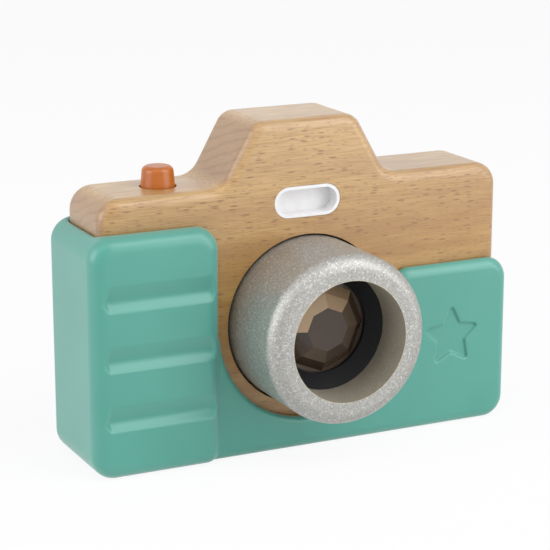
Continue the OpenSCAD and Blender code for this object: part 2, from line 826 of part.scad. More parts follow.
module barrel_shell() {
    lip_y = barrel_front_y + barrel_lip_r;
    color("silver")
        difference() {
            turned() {
                translate([barrel_open_r, barrel_front_y])
                    square([barrel_r - barrel_lip_r - barrel_open_r, barrel_lip_r]);
                translate([barrel_open_r, lip_y])
                    square([barrel_r - barrel_open_r, base_y0 - lip_y]);
                intersection() {
                    translate([barrel_r - barrel_lip_r, lip_y])
                        circle(barrel_lip_r);
                    translate([barrel_r - barrel_lip_r, barrel_front_y])
                        square(barrel_lip_r);
                }
            }
            rod(0, lens_z, spacer_y0, base_y0 + over, lens_bore_r);
            for (i = [0:barrel_screw_count - 1])
                let (p = barrel_screw_place(i))
                    rod(p[0], p[1], base_y1 - barrel_screw_l, base_y0 + over, shank_r + fit);
        }
}

module facet_ring(y, r) {
    along_y(0, y, lens_z)
        cylinder(h = lens_facet_t, r = r, $fn = lens_facets);
}

// A plate with a crown of facets that looks out through the holder's lip
module faceted_lens() {
    crown_r = lens_hole_r - slip;
    color("saddlebrown", 0.7)
        union() {
            rod(0, lens_z, lens_y0, lens_y1, lens_r);
            hull() {
                facet_ring(lens_y0, crown_r);
                facet_ring(lens_y0 - lens_crown * lens_crown_middle_share, crown_r * lens_middle_share);
                facet_ring(lens_y0 - lens_crown, crown_r * lens_inner_share);
            }
        }
}

// The lens's black holder: a funnel, a lip and the tube that reaches back to the base
module lens_spacer() {
    color("black")
        turned()
            polygon([
                [barrel_open_r, spacer_y0],
                [spacer_r, spacer_y0],
                [spacer_r, base_y0],
                [lens_r + fit, base_y0],
                [lens_r + fit, lens_y0],
                [lens_hole_r, lens_y0],
                [lens_hole_r, spacer_lip_y]
            ]);
}

module barrel_base() {
    color("dimgray")
        difference() {
            union() {
                rod(0, lens_z, base_y0, base_y1, barrel_r);
                rod(0, lens_z, base_y0, spigot_y1, spigot_r);
            }
            rod(0, lens_z, base_y0 - over, spigot_y1 + over, spigot_bore_r);
            rod(0, lens_z, spigot_y1 - eye_window_t, spigot_y1 + over, eye_window_r + fit);
            for (i = [0:barrel_screw_count - 1])
                let (p = barrel_screw_place(i)) {
                    rod(p[0], p[1], base_y0 - over, base_y1, shank_r + fit);
                    rod(p[0], p[1], base_y1 - head_t, base_y1 + over, head_r + fit);
                }
        }
}

module barrel_screws() {
    color("gainsboro")
        for (i = [0:barrel_screw_count - 1])
            let (p = barrel_screw_place(i))
                translate([p[0], base_y1 - head_t, p[1]])
                    screw(barrel_screw_l, shank_r, false);
}

module eyepiece_ring() {
    color("dimgray")
        difference() {
            rod(0, lens_z, eye_y0, eye_y1, eye_r);
            rod(0, lens_z, eye_y0 - over, spigot_y1, spigot_r + fit);
            rod(0, lens_z, eye_y0, eye_y1 + over, eye_hole_r);
            along_y(0, eye_y1 - eye_bevel, lens_z)
                cylinder(h = eye_bevel + over, r1 = eye_hole_r, r2 = eye_hole_r + eye_bevel + over);
        }
}

module eyepiece_window() {
    color("lightblue", 0.4)
        rod(0, lens_z, spigot_y1 - eye_window_t, spigot_y1, eye_window_r);
}

// Shutter button
module shutter_button() {
    straight_z = cap_z0 + (button_top_z - cap_z0) * (1 - button_straight_share);
    top_r = button_r - button_taper;
    edge_z = button_top_z - button_edge_r;
    color("darkorange")
        translate([button_x, 0, 0])
            difference() {
                rotate_extrude() {
                    polygon([
                        [0, cap_z0], [button_r, cap_z0], [button_r, straight_z],
                        [top_r, edge_z], [top_r - button_edge_r, edge_z],
                        [top_r - button_edge_r, button_top_z], [0, button_top_z]
                    ]);
                    intersection() {
                        translate([top_r - button_edge_r, edge_z])
                            circle(button_edge_r);
                        translate([top_r - button_edge_r, edge_z])
                            square(button_edge_r);
                    }
                }
                translate([0, 0, cap_z0 - over])
                    cylinder(h = socket_d + fit + over, r = stem_r + fit);
            }
}

module button_stem() {
    color("whitesmoke")
        translate([button_x, 0, 0])
            union() {
                translate([0, 0, tail_z0])
                    cylinder(h = flange_z0 - tail_z0 + flange_t / 2, r = tail_r);
                translate([0, 0, flange_z0])
                    cylinder(h = flange_t, r = flange_r);
                translate([0, 0, flange_z1 - flange_t / 2])
                    cylinder(h = stem_z1 - flange_z1 + flange_t / 2, r = stem_r);
            }
}

module return_spring() {
    color("silver")
        translate([button_x, 0, 0])
            tube(helix(spring_r, switch_z1 + spring_wire_r + fit, flange_z0 - spring_wire_r - fit,
                       spring_turns, spring_rings),
                 spring_wire_r, spring_sides, [0, 0, 1]);
}

module shutter_switch() {
    hole_z0 = plunger_z0 - button_travel - slip;
    color("dimgray")
        difference() {
            translate([button_x - switch_w / 2, board_y1, switch_z0])
                cube([switch_w, switch_past - board_y1, switch_h]);
            translate([button_x, 0, hole_z0])
                cylinder(h = switch_z1 - hole_z0 + over, r = plunger_hole_r);
        }
}

module switch_plunger() {
    color("black")
        translate([button_x, 0, plunger_z0])
            cylinder(h = tail_z0 - plunger_z0, r = plunger_r);
}

// Board and what it carries
module circuit_board() {
    color("darkgreen")
        difference() {
            slab(board_y0, board_y1)
                panel(board_x0, board_x1, board_z0, board_z1, board_r);
            for (p = board_screw_places)
                rod(p[0], p[1], board_y0 - over, board_y1 + over, shank_r + fit);
        }
}

module board_pad() {
    half_w = (board_x1 - board_x0) * pad_w_share / 2;
    color("dimgray")
        slab(bay_y0, board_y0)
            panel(bay_cx - half_w, bay_cx + half_w, board_z0 + pad_end_gap, board_z1 - pad_end_gap, board_r);
}

module sound_chip() {
    ball_r = (chip_r * chip_r + chip_h * chip_h) / (2 * chip_h);
    chip_z = (door_z1 + switch_z0) / 2;
    color("black")
        intersection() {
            translate([bay_cx, board_y1 + chip_h - ball_r, chip_z])
                sphere(ball_r);
            rod(bay_cx, chip_z, board_y1, board_y1 + chip_h + over, chip_r + over);
        }
}

module board_screws() {
    color("gainsboro")
        for (p = board_screw_places)
            translate([p[0], board_y1, p[1]])
                screw(head_t + board_t + pad_t + board_screw_depth - fit, shank_r, false);
}

// Flash
module flash_window() {
    web_y = front_y + flash_depth;
    color("white")
        difference() {
            slab(flash_y0, flash_bay_y0)
                flash_outline(fit);
            slab(flash_y0 - over, web_y)
                flash_outline(fit + flash_wall);
            slab(web_y + flash_floor, flash_bay_y0 + over)
                flash_outline(fit + flash_wall);
        }
}

module flash_led() {
    color("white")
        translate([0, flash_bay_y0, flash_z])
            rotate([90, 0, 0])
                rotate_extrude() {
                    square([led_flange_r, led_flange_t]);
                    square([led_r, led_l - led_r]);
                    intersection() {
                        translate([0, led_l - led_r])
                            circle(led_r);
                        translate([0, led_l - led_r])
                            square(led_r);
                    }
                }
}

module led_board() {
    half_w = flash_bay_w / 2 - led_board_side_gap;
    color("darkgreen")
        slab(flash_bay_y0, led_board_y1)
            panel(-half_w, half_w, led_board_z0, flash_bay_z1 - led_board_side_gap, pocket_r);
}

module led_leads() {
    route = smooth(lead_route, lead_steps);
    color("firebrick")
        for (side = [-1, 1])
            translate([side * lead_pitch / 2, 0, -side * lead_pitch / 2])
                tube(route, lead_r, lead_sides, [0, 0, 1]);
}

module flash_cover() {
    color("whitesmoke")
        difference() {
            slab(flash_cover_y0, back_y)
                flash_cover_outline(cover_gap);
            for (side = [-1, 1])
                sunk_hole([side * flash_screw_x, flash_cover_z], flash_cover_y0, back_y, shank_r);
        }
}

module flash_cover_screws() {
    color("gainsboro")
        for (side = [-1, 1])
            translate([side * flash_screw_x, back_y - head_t, flash_cover_z])
                screw(cover_screw_l, shank_r, true);
}

// Battery
module battery_holder() {
    half_l = holder_l / 2;
    half_h = holder_h / 2;
    color("whitesmoke")
        difference() {
            union() {
                slab(holder_y0, cover_y0)
                    panel(bay_cx - half_l - holder_wall, bay_cx + half_l + holder_wall,
                          holder_z - half_h - holder_wall, holder_z + half_h + holder_wall, board_r);
                rod(bay_cx, boss_z, holder_y0, cover_y0, boss_r);
                for (x = [-1, 1], z = [-1, 1])
                    rod(bay_cx + x * (half_l - holder_foot_r), holder_z + z * (half_h - holder_foot_r),
                        board_y1, holder_y0 + holder_wall / 2, holder_foot_r);
            }
            translate([bay_cx - half_l, holder_y0 + holder_wall, holder_z - half_h])
                cube([holder_l, cover_y0 - holder_y0, holder_h]);
            for (side = [-1, 1])
                translate([bay_cx + side * (half_l - contact_t / 2) - contact_t / 2 - fit, holder_y0 - over,
                           holder_z - contact_tab_w / 2 - fit])
                    cube([contact_t + 2 * fit, holder_wall + 2 * over, contact_tab_w + 2 * fit]);
            rod(bay_cx, boss_z, back_y - door_screw_l, cover_y0 + over, door_screw_r + slip);
        }
}

module battery_cells() {
    color("gainsboro")
        for (i = [0:cell_count - 1])
            translate([bay_cx + holder_l / 2 - contact_t - (i + 1) * cell_h, cell_y, holder_z])
                rotate([0, 90, 0])
                    union() {
                        cylinder(h = cell_h / 2, r = cell_r * cell_cap_r_share);
                        translate([0, 0, cell_h * cell_cap_h_share])
                            cylinder(h = cell_h * (1 - cell_cap_h_share) - cell_slip, r = cell_r);
                    }
}

module contact_plate(x) {
    translate([x, cell_y - contact_side / 2, holder_z - contact_side / 2])
        cube([contact_t, contact_side, contact_side]);
    translate([x, board_y1, holder_z - contact_tab_w / 2])
        cube([contact_t, cell_y - board_y1, contact_tab_w]);
}

module battery_contacts() {
    x0 = bay_cx - holder_l / 2;
    color("gold") {
        union() {
            contact_plate(x0);
            translate([x0 + contact_t / 2, cell_y, holder_z])
                rotate([0, 90, 0])
                    cylinder(h = contact_bump + contact_t / 2, r1 = contact_bump_r, r2 = contact_tip_r);
        }
        contact_plate(bay_cx + holder_l / 2 - contact_t);
    }
}

module battery_door() {
    plug_y = cover_y0 + door_plug_lift;
    color("whitesmoke")
        difference() {
            union() {
                slab(door_y0, back_y)
                    panel(door_x0, door_x1, door_z0, door_z1, door_r);
                translate([bay_cx - holder_l / 2 + slip, plug_y, holder_z - holder_h / 2 + slip])
                    cube([holder_l - 2 * slip, back_y - door_t / 2 - plug_y, holder_h - 2 * slip]);
            }
            rod(bay_cx, boss_z, door_y0 - over, back_y + over, door_screw_r + fit);
        }
}

module door_screw() {
    color("gainsboro")
        translate([bay_cx, back_y, boss_z])
            screw(door_screw_l + head_t - slip, door_screw_r, false);
}

module back_cover() {
    color("whitesmoke")
        difference() {
            slab(cover_y0, back_y)
                cover_outline(cover_gap);
            // The battery door's seat and opening
            slab(door_y0, back_y + over)
                panel(door_x0 - slip, door_x1 + slip, door_z0 - slip, door_z1 + slip, door_r + slip);
            translate([bay_cx - holder_l / 2, cover_y0 - over, holder_z - holder_h / 2])
                cube([holder_l, cover_t + 2 * over, holder_h]);
            rod(bay_cx, boss_z, cover_y0 - over, back_y + over, door_screw_r + slip);
            speaker_holes(cover_y0 - over, back_y + over, speaker_r * sound_hole_share);
            for (p = cover_screw_places)
                sunk_hole(p, cover_y0, back_y, shank_r);
        }
}

module back_cover_screws() {
    color("gainsboro")
        for (p = cover_screw_places)
            translate([p[0], back_y - head_t, p[1]])
                screw(cover_screw_l, shank_r, true);
}

// Speaker
module speaker() {
    ring_y = cover_y0 - speaker_ring_t;
    pit_r = speaker_r - speaker_ring_w;
    magnet_r = speaker_r * magnet_r_share;
    color("dimgray")
        difference() {
            union() {
                rod(bay_cx, speaker_z, ring_y, cover_y0, speaker_r);
                along_y(bay_cx, ring_y - basket_l, speaker_z)
                    cylinder(h = basket_l + speaker_ring_t / 2, r1 = magnet_r, r2 = pit_r);
                rod(bay_cx, speaker_z, ring_y - basket_l - magnet_l, ring_y - basket_l / 2, magnet_r);
            }
            rod(bay_cx, speaker_z, cover_y0 - speaker_ledge, cover_y0 + over, pit_r);
            rod(bay_cx, speaker_z, cover_y0 - speaker_pit, cover_y0 + over, pit_r * speaker_pit_share);
        }
}

module speaker_cone() {
    rim_r = speaker_r - speaker_ring_w - fit;
    dome_r = rim_r * speaker_pit_share;
    color("slategray")
        along_y(bay_cx, cover_y0 - speaker_ledge, speaker_z)
            rotate_extrude()
                polygon([
                    [0, cone_rise], [dome_r, 0], [rim_r, 0], [rim_r, cone_t], [dome_r, cone_t],
                    [0, cone_rise + cone_t]
                ]);
}

module speaker_leads() {
    reach = speaker_r - speaker_ring_w / 2;
    color("firebrick")
        for (turn = [180 - speaker_lead_angle, 180 + speaker_lead_angle])
            rod(bay_cx + reach * cos(turn), speaker_z + reach * sin(turn),
                board_y1, cover_y0 - speaker_ring_t, lead_r);
}

wooden_body();
silicone_sleeve();
barrel_shell();
faceted_lens();
lens_spacer();
barrel_base();
barrel_screws();
eyepiece_ring();
eyepiece_window();
shutter_button();
button_stem();
return_spring();
shutter_switch();
switch_plunger();
circuit_board();
board_pad();
sound_chip();
board_screws();
flash_window();
flash_led();
led_board();
led_leads();
flash_cover();
flash_cover_screws();
battery_holder();
battery_cells();
battery_contacts();
speaker();
speaker_cone();
speaker_leads();
back_cover();
back_cover_screws();
battery_door();
door_screw();
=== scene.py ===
import json
import math

import bpy
import numpy as np
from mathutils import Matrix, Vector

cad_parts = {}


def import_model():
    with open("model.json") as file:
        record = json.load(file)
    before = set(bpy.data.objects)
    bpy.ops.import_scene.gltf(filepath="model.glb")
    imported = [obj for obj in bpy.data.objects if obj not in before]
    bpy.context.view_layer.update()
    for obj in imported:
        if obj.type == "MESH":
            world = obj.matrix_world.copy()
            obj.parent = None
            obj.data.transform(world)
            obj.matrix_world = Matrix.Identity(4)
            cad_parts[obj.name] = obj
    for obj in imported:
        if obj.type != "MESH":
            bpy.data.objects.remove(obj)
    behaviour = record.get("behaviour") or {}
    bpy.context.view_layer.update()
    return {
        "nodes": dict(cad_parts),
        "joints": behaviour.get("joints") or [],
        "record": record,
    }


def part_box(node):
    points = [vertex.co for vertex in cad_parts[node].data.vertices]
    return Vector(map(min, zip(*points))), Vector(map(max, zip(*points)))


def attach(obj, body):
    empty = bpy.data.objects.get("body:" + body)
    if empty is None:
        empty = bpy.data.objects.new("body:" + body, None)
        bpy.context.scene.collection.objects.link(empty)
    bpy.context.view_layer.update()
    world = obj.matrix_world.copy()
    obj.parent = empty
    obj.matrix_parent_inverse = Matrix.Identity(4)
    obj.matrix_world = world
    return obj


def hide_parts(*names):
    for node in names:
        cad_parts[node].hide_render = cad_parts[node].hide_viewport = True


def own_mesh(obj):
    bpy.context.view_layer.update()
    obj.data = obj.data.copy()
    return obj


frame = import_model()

import openvdb
from mathutils import Vector

MM = 0.001
WHITE = (1.0, 1.0, 1.0, 1.0)
nodes = frame["nodes"]
joints = {joint["name"]: joint for joint in frame["joints"]}
lens_z = joints["lens_turn"]["pos_m"][2] / MM


def box_mm(node):
    """Lowest and highest corners of a CAD node, in millimetres."""
    low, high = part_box(node)
    return np.array(low) / MM, np.array(high) / MM


# Node graphs
def add(tree, kind, values=None, **settings):
    """A node with its settings; each value is a constant or the socket that feeds the input."""
    node = tree.nodes.new(kind)
    for name, setting in settings.items():
        setattr(node, name, setting)
    for key, value in (values or {}).items():
        if isinstance(value, bpy.types.NodeSocket):
            tree.links.new(value, node.inputs[key])
        else:
            node.inputs[key].default_value = value
    return node


def mix(tree, share, first, second):
    """The first colour with a share of the second."""
    return add(tree, "ShaderNodeMix", {0: share, 6: first, 7: second}, data_type="RGBA").outputs[2]


def ramp(tree, value, span, ends=(0.0, 1.0)):
    """A smooth step from the first end to the second while the value crosses the span."""
    low, high = span
    start, end = ends
    return add(tree, "ShaderNodeMapRange", {"Value": value, "From Min": low, "From Max": high,
                                            "To Min": start, "To Max": end},
               interpolation_type="SMOOTHSTEP").outputs["Result"]


def maths(tree, operation, first, second=0.0):
    return add(tree, "ShaderNodeMath", {0: first, 1: second}, operation=operation).outputs[0]


def vectors(tree, operation, first, second=(0.0, 0.0, 0.0)):
    return add(tree, "ShaderNodeVectorMath", {0: first, 1: second}, operation=operation).outputs


def coordinates(tree, kind):
    return add(tree, "ShaderNodeTexCoord").outputs[kind]


def split(tree, vector):
    """One socket for each axis of a vector."""
    return add(tree, "ShaderNodeSeparateXYZ", {"Vector": vector}).outputs


def channels(tree, colour):
    """One socket for each channel of a colour."""
    return add(tree, "ShaderNodeSeparateColor", {"Color": colour}).outputs


def place_mm(tree, size):
    """Object coordinates divided by a size in millimetres along each axis."""
    scale = [1 / (side * MM) for side in size]
    return add(tree, "ShaderNodeMapping",
               {"Vector": coordinates(tree, "Object"), "Scale": scale}).outputs["Vector"]


def distance_mm(tree, point, axes):
    """Millimetres from a point, counted only along the axes that are marked with a one."""
    offset = vectors(tree, "SUBTRACT", place_mm(tree, (1, 1, 1)), point)[0]
    return vectors(tree, "LENGTH", vectors(tree, "MULTIPLY", offset, axes)[0])["Value"]


def noise(tree, size, detail=3.0, roughness=0.5):
    return add(tree, "ShaderNodeTexNoise", {"Vector": place_mm(tree, size), "Scale": 1.0,
                                            "Detail": detail, "Roughness": roughness}).outputs["Fac"]


def cells(tree, size):
    return add(tree, "ShaderNodeTexVoronoi", {"Vector": place_mm(tree, size), "Scale": 1.0}).outputs


def bump(tree, height, depth_mm, strength):
    return add(tree, "ShaderNodeBump", {"Height": height, "Distance": depth_mm * MM,
                                        "Strength": strength}).outputs["Normal"]


def linear(red, green, blue):
    """An sRGB colour, 0 to 255, as the linear colour that shaders take."""
    def channel(value):
        share = value / 255
        return share / 12.92 if share <= 0.04045 else ((share + 0.055) / 1.055) ** 2.4
    return (channel(red), channel(green), channel(blue), 1.0)


def material(name, **sockets):
    """A new material, its tree and its shader, with constants set on the shader's sockets."""
    new = bpy.data.materials.new(name)
    new.use_nodes = True
    shader = new.node_tree.nodes["Principled BSDF"]
    for key, value in sockets.items():
        shader.inputs[key.replace("_", " ")].default_value = value
    return new, new.node_tree, shader


def feed(tree, shader, **sockets):
    """Links a socket to each of the shader's inputs that is named."""
    for key, socket in sockets.items():
        tree.links.new(socket, shader.inputs[key.replace("_", " ")])


# Beech: sizes in millimetres along the grain, through the block and upwards
BAND_SIZE = (90, 14, 7)
BAND_SPAN = (0.3, 0.7)
BAND_ROUGHNESS = 0.55
BAND_TINTS = (linear(154, 106, 36), linear(185, 144, 74))
# Painted light: the wood is mixed to a paler tint towards the top, in place of the shade on the lower wood
PAINTED_LIGHT_TOP_Z = (40 * MM, 95 * MM)
PAINTED_LIGHT_TOP_SHARE = 0.6
PAINTED_LIGHT_TOP_TINT = linear(208, 174, 126)
FIBRE_SIZE = (9, 0.9, 0.32)
FIBRE_ROUGHNESS = 0.6
FIBRE_SPAN = (0.35, 0.75)
FIBRE_SHARE = 0.6
FIBRE_TINT = linear(142, 98, 46)
FIBRE_DEPTH = 0.04
FIBRE_STRENGTH = 0.3
GLOSS_SPAN = (0.2, 0.8)
BEECH_ROUGHNESS = (0.4, 0.55)
RAY_SIZE = (4.4, 26, 0.9)
RAY_LEFT_OUT = 0.5
SMALL_RAY_SIZE = (2.4, 20, 0.55)
SMALL_RAY_LEFT_OUT = 0.45
SMALL_RAY_SHARE = 0.7
RAY_EDGE = (0.14, 0.36)
RAY_DRAW_SOFT = 0.1
RAY_SHARE = 0.7
RAY_TINT = linear(122, 80, 40)
FLAT_SAWN = (0.6, 0.95)
PITH_AT = (0.0, -70.0, -120.0)
RING_PHASE_PER_MM = 2.4
RING_DRIFT_SIZE = (60, 14, 14)
RING_DRIFT = 6.0
RING_SPAN = (0.2, 1.0)
RING_SHARE = 0.6
RING_TINTS = (linear(157, 121, 87), linear(128, 92, 62))
ON_END = (0.35, 0.85)
END_SHARE = 0.75


def dashes(tree, size, left_out):
    """Spindles in cells of the given size, with a share of them left out."""
    spindle = cells(tree, size)
    draw = channels(tree, spindle["Color"])[0]
    kept = ramp(tree, draw, (left_out, left_out + RAY_DRAW_SOFT))
    return maths(tree, "MULTIPLY", ramp(tree, spindle["Distance"], RAY_EDGE, (1.0, 0.0)), kept)


def rays_on_faces(tree, facing):
    """Short dashes on the flat-sawn faces, in two sizes."""
    small = maths(tree, "MULTIPLY", dashes(tree, SMALL_RAY_SIZE, SMALL_RAY_LEFT_OUT), SMALL_RAY_SHARE)
    rays = maths(tree, "MAXIMUM", dashes(tree, RAY_SIZE, RAY_LEFT_OUT), small)
    return maths(tree, "MULTIPLY", rays, ramp(tree, maths(tree, "ABSOLUTE", facing[1]), FLAT_SAWN))


def long_grain(tree, fibres):
    """Broad bands along the grain, painted paler towards the top in place of the shade on the lower wood
    near the barrel, then fine fibres.
    """
    bands = noise(tree, BAND_SIZE, roughness=BAND_ROUGHNESS)
    tint = mix(tree, ramp(tree, bands, BAND_SPAN), *BAND_TINTS)
    height = split(tree, coordinates(tree, "Object"))[2]
    tint = mix(tree, ramp(tree, height, PAINTED_LIGHT_TOP_Z, (0.0, PAINTED_LIGHT_TOP_SHARE)), tint, PAINTED_LIGHT_TOP_TINT)
    return mix(tree, ramp(tree, fibres, FIBRE_SPAN, (0.0, FIBRE_SHARE)), tint, FIBRE_TINT)


def end_grain(tree):
    """Growth rings round a pith that lies outside the block."""
    drift = maths(tree, "MULTIPLY", noise(tree, RING_DRIFT_SIZE, detail=2.0), RING_DRIFT)
    reach = maths(tree, "ADD", distance_mm(tree, PITH_AT, (0.0, 1.0, 1.0)), drift)
    wave = maths(tree, "SINE", maths(tree, "MULTIPLY", reach, RING_PHASE_PER_MM))
    return mix(tree, ramp(tree, wave, RING_SPAN, (0.0, RING_SHARE)), *RING_TINTS)


def beech():
    new, tree, shader = material("beech", Coat_Weight=1.0, Coat_Roughness=0.3)
    facing = split(tree, coordinates(tree, "Normal"))
    fibres = noise(tree, FIBRE_SIZE, roughness=FIBRE_ROUGHNESS)
    rays = rays_on_faces(tree, facing)
    tint = mix(tree, maths(tree, "MULTIPLY", rays, RAY_SHARE), long_grain(tree, fibres), RAY_TINT)
    on_end = ramp(tree, maths(tree, "ABSOLUTE", facing[0]), ON_END, (0.0, END_SHARE))
    relief = maths(tree, "SUBTRACT", fibres, rays)
    feed(tree, shader,
         Base_Color=mix(tree, on_end, tint, end_grain(tree)),
         Roughness=ramp(tree, fibres, GLOSS_SPAN, BEECH_ROUGHNESS),
         Normal=bump(tree, relief, FIBRE_DEPTH, FIBRE_STRENGTH))
    return new


# Silicone
CLOUD_SIZE = (30, 30, 30)
CLOUD_SPAN = (0.35, 0.65)
SILICONE_TINTS = (linear(63, 149, 134), linear(67, 153, 138))
PORE_SIZE = (0.5, 0.5, 0.5)
PORE_DEPTH = 0.01
PORE_STRENGTH = 0.2


def silicone():
    new, tree, shader = material("silicone", Roughness=0.38, Specular_IOR_Level=0.8, Sheen_Weight=0.3,
                                 Sheen_Roughness=0.5)
    cloud = noise(tree, CLOUD_SIZE, detail=2.0)
    pores = noise(tree, PORE_SIZE, detail=2.0)
    feed(tree, shader,
         Base_Color=mix(tree, ramp(tree, cloud, CLOUD_SPAN), *SILICONE_TINTS),
         Normal=bump(tree, pores, PORE_DEPTH, PORE_STRENGTH))
    return new


# Silver paint, which in the barrel's bore is painted paler and warmer, with less flake and less metallic,
# as painted light in place of warm light reflected into the bore
SPECK_SIZE = (0.36, 0.36, 0.36)
SPECK_SPAN = (0.1, 0.9)
SILVER_TINTS = (linear(156, 155, 151), linear(174, 173, 169))
SPARK_SPAN = (0.86, 0.96)
SPARK_SHARE = 0.6
SPARK_TINT = linear(216, 216, 214)
SILVER_ROUGHNESS = (0.42, 0.56)
FLAKE_SHARE = 0.5
FLAKE_GREY = (0.5, 0.5, 0.5, 1.0)
FLAKE_DEPTH = 0.02
FLAKE_STRENGTH = 0.12
BORE_R = 17.0
BORE_EDGE = (BORE_R + 0.1, BORE_R + 0.3)
BORE_PAINTED_LIGHT_SHARE = 0.5
BORE_PAINTED_LIGHT_TINT = linear(196, 184, 156)
OUTER_METALLIC = 0.65
BORE_METALLIC = 0.4


def silver_paint():
    new, tree, shader = material("silver_paint")
    speck = cells(tree, SPECK_SIZE)["Color"]
    draw = channels(tree, speck)
    tint = mix(tree, ramp(tree, draw[0], SPECK_SPAN), *SILVER_TINTS)
    tint = mix(tree, ramp(tree, draw[1], SPARK_SPAN, (0.0, SPARK_SHARE)), tint, SPARK_TINT)
    # Painted light: the bore is mixed to a pale warm tint in place of warm light reflected into it
    bore_painted_light = ramp(tree, distance_mm(tree, (0.0, 0.0, lens_z), (1.0, 0.0, 1.0)), BORE_EDGE, (1.0, 0.0))
    flake = add(tree, "ShaderNodeRGBToBW", {"Color": mix(tree, FLAKE_SHARE, speck, FLAKE_GREY)}).outputs[0]
    feed(tree, shader,
         Base_Color=mix(tree, maths(tree, "MULTIPLY", bore_painted_light, BORE_PAINTED_LIGHT_SHARE), tint, BORE_PAINTED_LIGHT_TINT),
         Metallic=ramp(tree, bore_painted_light, (0.0, 1.0), (OUTER_METALLIC, BORE_METALLIC)),
         Roughness=ramp(tree, draw[2], (0.0, 1.0), SILVER_ROUGHNESS),
         Normal=bump(tree, flake, FLAKE_DEPTH, FLAKE_STRENGTH))
    return new


# Smoked lens: each facet shows another part of what lies behind it, so each gets its own painted shade,
# and facets that lean towards the upper left are painted lighter, as painted light
FACET_SHIFT = (0.03, 0.03, 0.03)
FACET_STEP = (0.1, 0.1, 0.1)
FACET_PAINTED_SHADE_SHARE = 0.2
PAINTED_LIT_SIDE = (-0.45, 0.0, 0.89)
PAINTED_LIT_SPAN = (0.05, 0.32)
PAINTED_LIT_SHARE = 0.85
LENS_SMOKE_AND_PAINTED_LIGHT_TINTS = (linear(58, 46, 40), linear(186, 158, 127))


def smoked_lens():
    new, tree, shader = material("smoked_lens", Roughness=0.06, IOR=1.49)
    normal = coordinates(tree, "Normal")
    facet = vectors(tree, "SNAP", vectors(tree, "ADD", normal, FACET_SHIFT)[0], FACET_STEP)[0]
    # Painted shade: a random brightness for each facet
    painted_facet_shade = add(tree, "ShaderNodeTexWhiteNoise", {"Vector": facet}).outputs["Value"]
    lean = vectors(tree, "DOT_PRODUCT", normal, PAINTED_LIT_SIDE)["Value"]
    # Painted light: facets that lean towards the upper left are mixed towards the light tint
    painted_lit = maths(tree, "ADD", ramp(tree, lean, PAINTED_LIT_SPAN, (0.0, PAINTED_LIT_SHARE)),
                maths(tree, "MULTIPLY", painted_facet_shade, FACET_PAINTED_SHADE_SHARE))
    feed(tree, shader, Base_Color=mix(tree, painted_lit, *LENS_SMOKE_AND_PAINTED_LIGHT_TINTS))
    return new


# Plain surfaces: two close sRGB shades, a span of roughness, and a grain in millimetres
PLAIN_SPAN = (0.3, 0.7)
PLAIN_STRENGTH = 0.3
PLAIN_LOOKS = {
    "black_plastic": dict(dark=(13, 14, 18), light=(18, 19, 24), roughness=(0.45, 0.55),
                          grain=(0.6, 0.6, 0.6), Specular_IOR_Level=0.2),
    "screw_steel": dict(dark=(168, 168, 170), light=(190, 190, 192), roughness=(0.25, 0.4),
                        grain=(0.3, 3, 0.3), Metallic=1.0),
    "clear_window": dict(dark=(236, 240, 242), light=(246, 249, 250), roughness=(0.02, 0.04),
                         grain=(9, 9, 9), depth_mm=0.001, Transmission_Weight=1.0, IOR=1.49),
    "orange_paint": dict(dark=(178, 93, 10), light=(184, 99, 14), roughness=(0.3, 0.36),
                         grain=(4, 4, 4), Coat_Weight=0.25, Coat_Roughness=0.3),
    "white_plastic": dict(dark=(222, 220, 214), light=(232, 230, 225), roughness=(0.45, 0.55),
                          grain=(0.7, 0.7, 0.7)),
    "board_green": dict(dark=(14, 72, 38), light=(22, 90, 50), roughness=(0.25, 0.35)),
    "foam": dict(dark=(52, 52, 57), light=(66, 66, 71), roughness=(0.8, 0.95),
                 grain=(0.5, 0.5, 0.5), depth_mm=0.1),
    "flash_white": dict(dark=(231, 230, 231), light=(236, 235, 236), roughness=(0.3, 0.36),
                        grain=(3, 3, 3), depth_mm=0.001),
    "lamp_clear": dict(dark=(240, 240, 228), light=(248, 248, 238), roughness=(0.03, 0.06),
                       grain=(6, 6, 6), depth_mm=0.001, Transmission_Weight=0.8, IOR=1.5),
    "wire_red": dict(dark=(142, 20, 18), light=(160, 28, 24), roughness=(0.35, 0.45)),
    "cell_steel": dict(dark=(188, 188, 184), light=(204, 204, 200), roughness=(0.2, 0.35),
                       grain=(4, 0.4, 4), Metallic=1.0),
    "contact_brass": dict(dark=(190, 150, 70), light=(206, 168, 86), roughness=(0.25, 0.4),
                          grain=(3, 0.4, 3), Metallic=1.0),
    "speaker_film": dict(dark=(84, 92, 102), light=(98, 106, 116), roughness=(0.4, 0.5)),
}


def plain(name, dark, light, roughness, grain=(2, 2, 2), depth_mm=0.01, **sockets):
    """A surface that drifts between two close shades, with a fine grain."""
    new, tree, shader = material(name, **sockets)
    drift = noise(tree, grain)
    feed(tree, shader,
         Base_Color=mix(tree, ramp(tree, drift, PLAIN_SPAN), linear(*dark), linear(*light)),
         Roughness=ramp(tree, drift, PLAIN_SPAN, roughness),
         Normal=bump(tree, drift, depth_mm, PLAIN_STRENGTH))
    return new


materials = {
    "beech": beech(),
    "silicone": silicone(),
    "silver_paint": silver_paint(),
    "smoked_lens": smoked_lens(),
}
for slot_name, look in PLAIN_LOOKS.items():
    materials[slot_name] = plain(slot_name, **look)


def dress(piece, slot):
    piece.data.materials.clear()
    piece.data.materials.append(materials[slot])


# CAD nodes are merged and are smooth across small angles, but for the facets of the lens
SMOOTH_BELOW = math.radians(38)
WELD = 0.002 * MM
FACETED = {"faceted_lens"}


